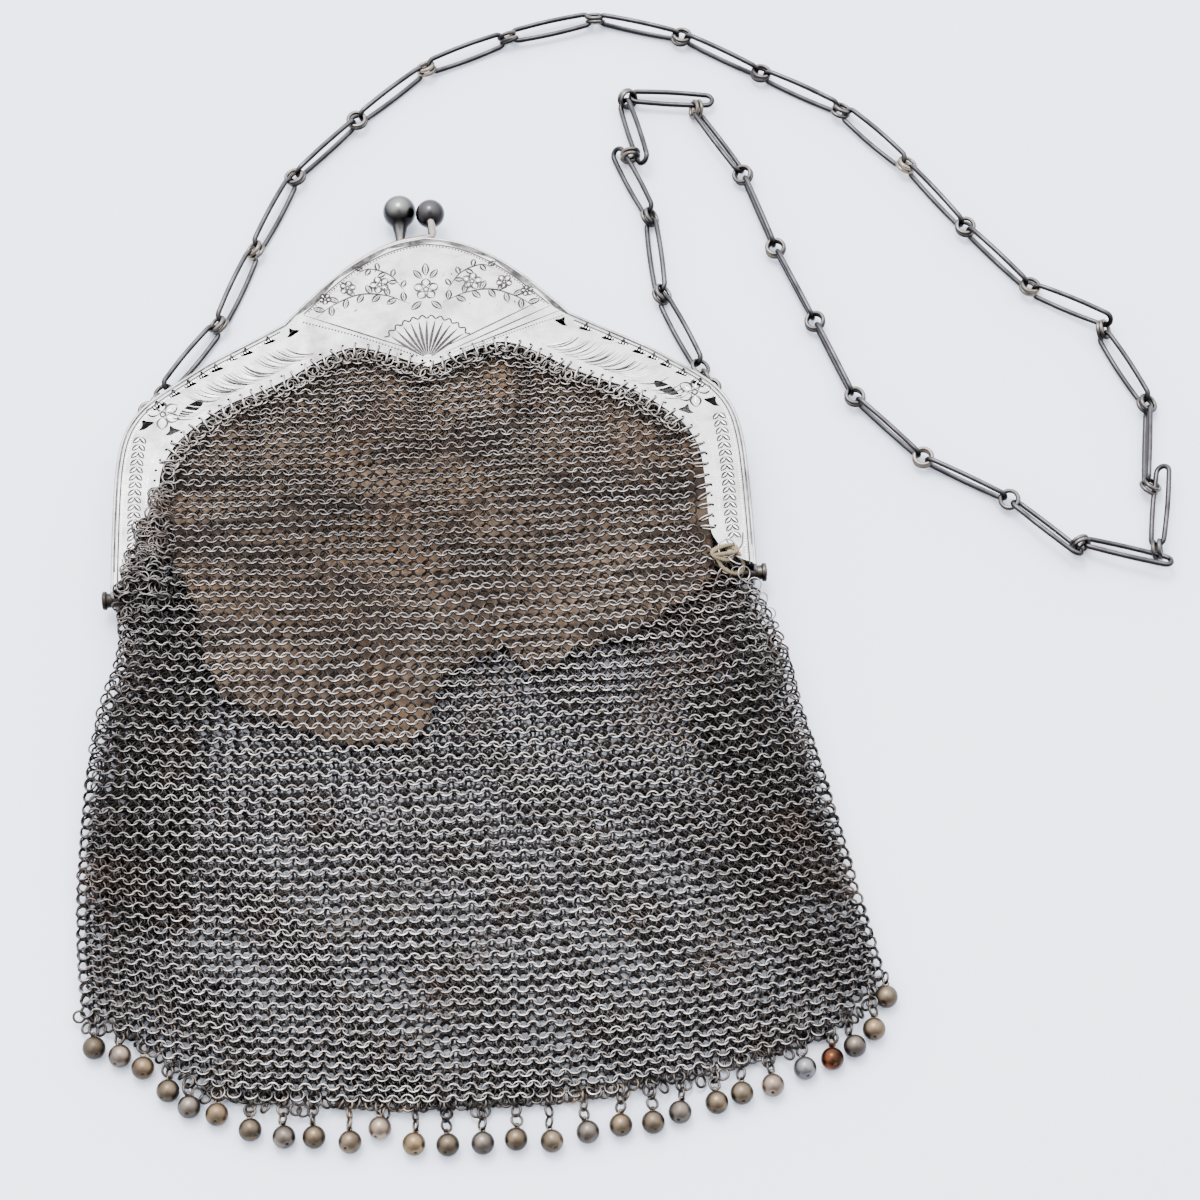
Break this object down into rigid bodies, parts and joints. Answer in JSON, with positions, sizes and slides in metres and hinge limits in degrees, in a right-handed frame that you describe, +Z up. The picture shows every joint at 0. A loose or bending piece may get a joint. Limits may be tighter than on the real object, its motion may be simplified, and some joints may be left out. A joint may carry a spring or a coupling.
{
  "type": "ring mesh purse",
  "caption": "Antique silver ring-mesh purse with a pierced, engraved kiss-lock frame, ball drops along the hem, a torn brown lining and a long-link shoulder chain, lying on its back.",
  "frame": {"origin": "the middle of the lower face of the overall box, on the surface the purse lies on", "axes": "+X along the hinge line toward the side where the chain lies, +Y from the hem toward the clasp, +Z up out of the purse's front"},
  "size_m": [0.1978, 0.2322, 0.0086],
  "materials": {
    "bright_silver": "engraved, worn bright silver",
    "back_silver": "plain tarnished silver",
    "dark_hinge": "dark oxidised silver",
    "dark_ball_silver": "polished dark silver",
    "mesh_silver": "fine ring mesh in oxidised silver wire",
    "brown_lining": "stained and torn thin lining",
    "oxidised_silver": "oxidised silver wire",
    "brassy_ball": "tarnished, brassy grey"
  },
  "bodies": {
    "root": {"front_frame": "bright_silver", "back_frame": "back_silver", "hinge_left": "dark_hinge", "hinge_right": "dark_hinge", "clasp_ball_large": "dark_ball_silver", "clasp_ball_small": "dark_ball_silver", "mesh_bag": "mesh_silver", "lining": "brown_lining", "shoulder_chain": "oxidised_silver", "drop_01": "brassy_ball", "drop_02": "brassy_ball", "drop_03": "brassy_ball", "drop_04": "brassy_ball", "drop_05": "brassy_ball", "drop_06": "brassy_ball", "drop_07": "brassy_ball", "drop_08": "brassy_ball", "drop_09": "brassy_ball", "drop_10": "brassy_ball", "drop_11": "brassy_ball", "drop_12": "brassy_ball", "drop_13": "brassy_ball", "drop_14": "brassy_ball", "drop_15": "brassy_ball", "drop_16": "brassy_ball", "drop_17": "brassy_ball", "drop_18": "brassy_ball", "drop_19": "brassy_ball", "drop_20": "brassy_ball", "drop_21": "brassy_ball", "drop_22": "brassy_ball", "drop_23": "brassy_ball", "drop_24": "brassy_ball", "drop_25": "brassy_ball", "drop_26": "brassy_ball", "drop_27": "brassy_ball", "drop_28": "brassy_ball"}
  },
  "joints": []
}
